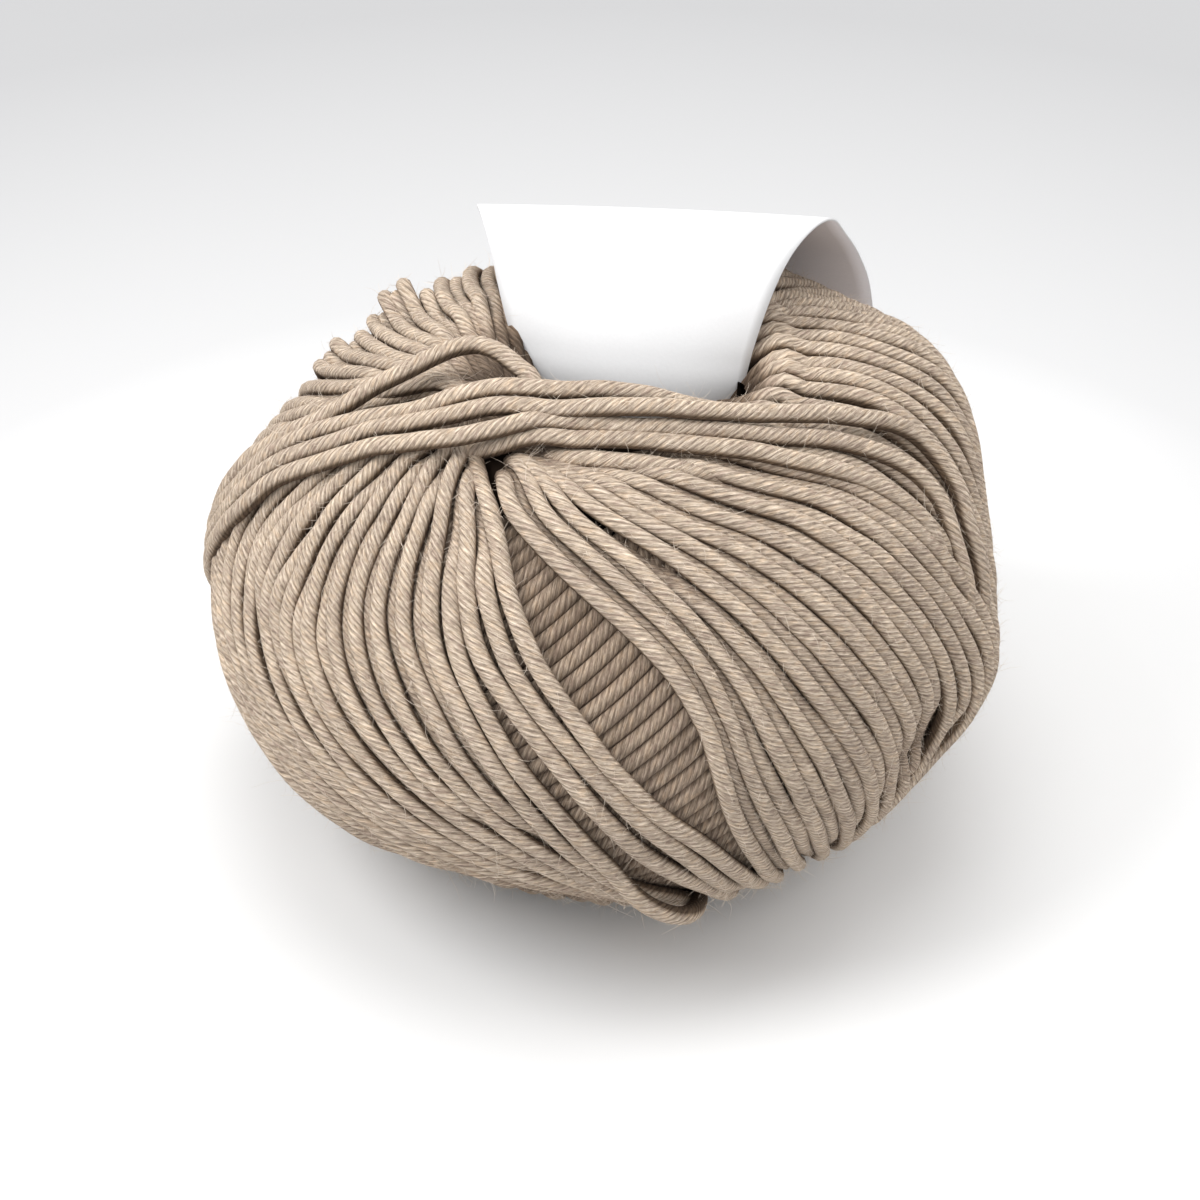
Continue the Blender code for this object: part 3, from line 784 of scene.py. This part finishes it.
label_mesh.from_pydata(((label_places.reshape(-1, 3) + ball_centre) * MM).tolist(), [], faces)
label = bpy.data.objects.new("label_band", label_mesh)
bpy.context.scene.collection.objects.link(label)
label_mesh.shade_smooth()
paper = Finish("coated_paper", {"Specular IOR Level": 0.4})
# Painted light: the back of the paper is tinted pink-grey for the light that the yarn bounces onto it.
paper_back_painted_bounce = Finish("paper_back_painted_bounce", {"Specular IOR Level": 0.3})
for side, pale, dull in (
    (paper, (0.645, 0.645, 0.65), (0.61, 0.61, 0.615)),
    (paper_back_painted_bounce, (0.72, 0.68, 0.685), (0.66, 0.62, 0.625)),
):
    on_paper = side.add("ShaderNodeTexCoord", {}, {}, "Object")
    cloud = side.add(
        "ShaderNodeTexNoise", {}, {"Vector": on_paper, "Scale": 90.0, "Detail": 3.0, "Roughness": 0.6}
    )
    hairs = side.add(
        "ShaderNodeTexNoise", {}, {"Vector": on_paper, "Scale": 2600.0, "Detail": 3.0, "Roughness": 0.7}
    )
    side.feed(side.shader.inputs["Base Color"], side.add(
        "ShaderNodeValToRGB", {"stops": [(0.3, dull), (0.62, pale)]}, [cloud * 0.55 + hairs * 0.45]
    ))
    side.feed(side.shader.inputs["Roughness"], 0.42 + cloud * 0.16 + hairs * 0.12)
    side.feed(side.shader.inputs["Normal"], side.add(
        "ShaderNodeBump", {}, {"Strength": 0.25, "Distance": 0.00005, "Height": hairs}
    ))
    label_mesh.materials.append(side.material)
thickness = label.modifiers.new("Paper", "SOLIDIFY")
thickness.thickness = PAPER_THICK * MM
thickness.offset = 0
thickness.material_offset = 1
bpy.ops.object.select_all(action="DESELECT")
label.select_set(True)
bpy.context.view_layer.objects.active = label
bpy.ops.object.modifier_apply(modifier="Paper")
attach(label, "root")
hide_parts("paper_label")

# The pale table that the ball rests on, which falls into shade away from it, the soft light
# round it, and the camera that looks down on it from the front.
TABLE_SIZE = 6
SHADE_PER_METRE = 3.0
bpy.ops.mesh.primitive_plane_add(size=TABLE_SIZE, location=(0, 0, 0))
table = bpy.context.object
table.name = "table_top"
white = Finish("white_table", {"Roughness": 0.85, "Specular IOR Level": 0.2})
floor_spot = white.add("ShaderNodeTexCoord", {}, {}, "Object")
away = white.add("ShaderNodeVectorMath", {"operation": "LENGTH"}, {0: floor_spot}, "Value")
# Painted shade: the table's colour grows darker the farther it lies from the ball.
white.feed(white.shader.inputs["Base Color"], white.add(
    "ShaderNodeValToRGB",
    {"stops": [
        (0.0, (0.7, 0.7, 0.7)), (0.22, (0.66, 0.66, 0.66)),
        (0.34, (0.485, 0.485, 0.488)), (0.62, (0.375, 0.375, 0.38)),
    ]},
    [away * SHADE_PER_METRE],
))
table.data.materials.append(white.material)
world = bpy.data.worlds.new("studio")
bpy.context.scene.world = world
world.use_nodes = True
world.node_tree.nodes["Background"].inputs["Color"].default_value = (1, 1, 1, 1)
world.node_tree.nodes["Background"].inputs["Strength"].default_value = 0.95
bpy.context.scene.view_settings.view_transform = "Standard"
LIGHT_AIM = Vector((0, 0, 0.03))


def add_light(name, place, size, power):
    """A round, soft light that faces the ball."""
    bpy.ops.object.light_add(type="AREA", location=np.array(place) * MM)
    light = bpy.context.object
    light.name = name
    light.data.shape = "DISK"
    light.data.size = size * MM
    light.data.energy = power
    light.rotation_euler = (LIGHT_AIM - light.location).to_track_quat("-Z", "Y").to_euler()


add_light("left_window", (-420, -100, 500), 380, 3.0)
add_light("top_box", (20, 60, 620), 440, 1.6)
add_light("right_window", (430, 330, 330), 350, 0.9)
add_light("front_card", (60, -470, 360), 320, 0.6)

CAMERA_AWAY = 420.0
CAMERA_UP = math.radians(36)
VIEW_DEGREES = 19.14
SENSOR_WIDE = 36.0
AIM_ACROSS, AIM_BELOW = -0.354, 2.12
look_up = np.array((0, math.sin(CAMERA_UP), math.cos(CAMERA_UP)))
backwards = np.array((0, -math.cos(CAMERA_UP), math.sin(CAMERA_UP)))
aim = ball_centre + np.array((AIM_ACROSS, 0, 0)) - AIM_BELOW * look_up
camera = bpy.data.cameras.new("camera")
camera.sensor_width = SENSOR_WIDE
camera.lens = SENSOR_WIDE / 2 / math.tan(math.radians(VIEW_DEGREES / 2))
holder = bpy.data.objects.new("camera", camera)
bpy.context.scene.collection.objects.link(holder)
holder.location = (aim + backwards * CAMERA_AWAY) * MM
holder.rotation_euler = Vector(-backwards).to_track_quat("-Z", "Y").to_euler()
camera.clip_start, camera.clip_end = 0.01, 20
bpy.context.scene.camera = holder
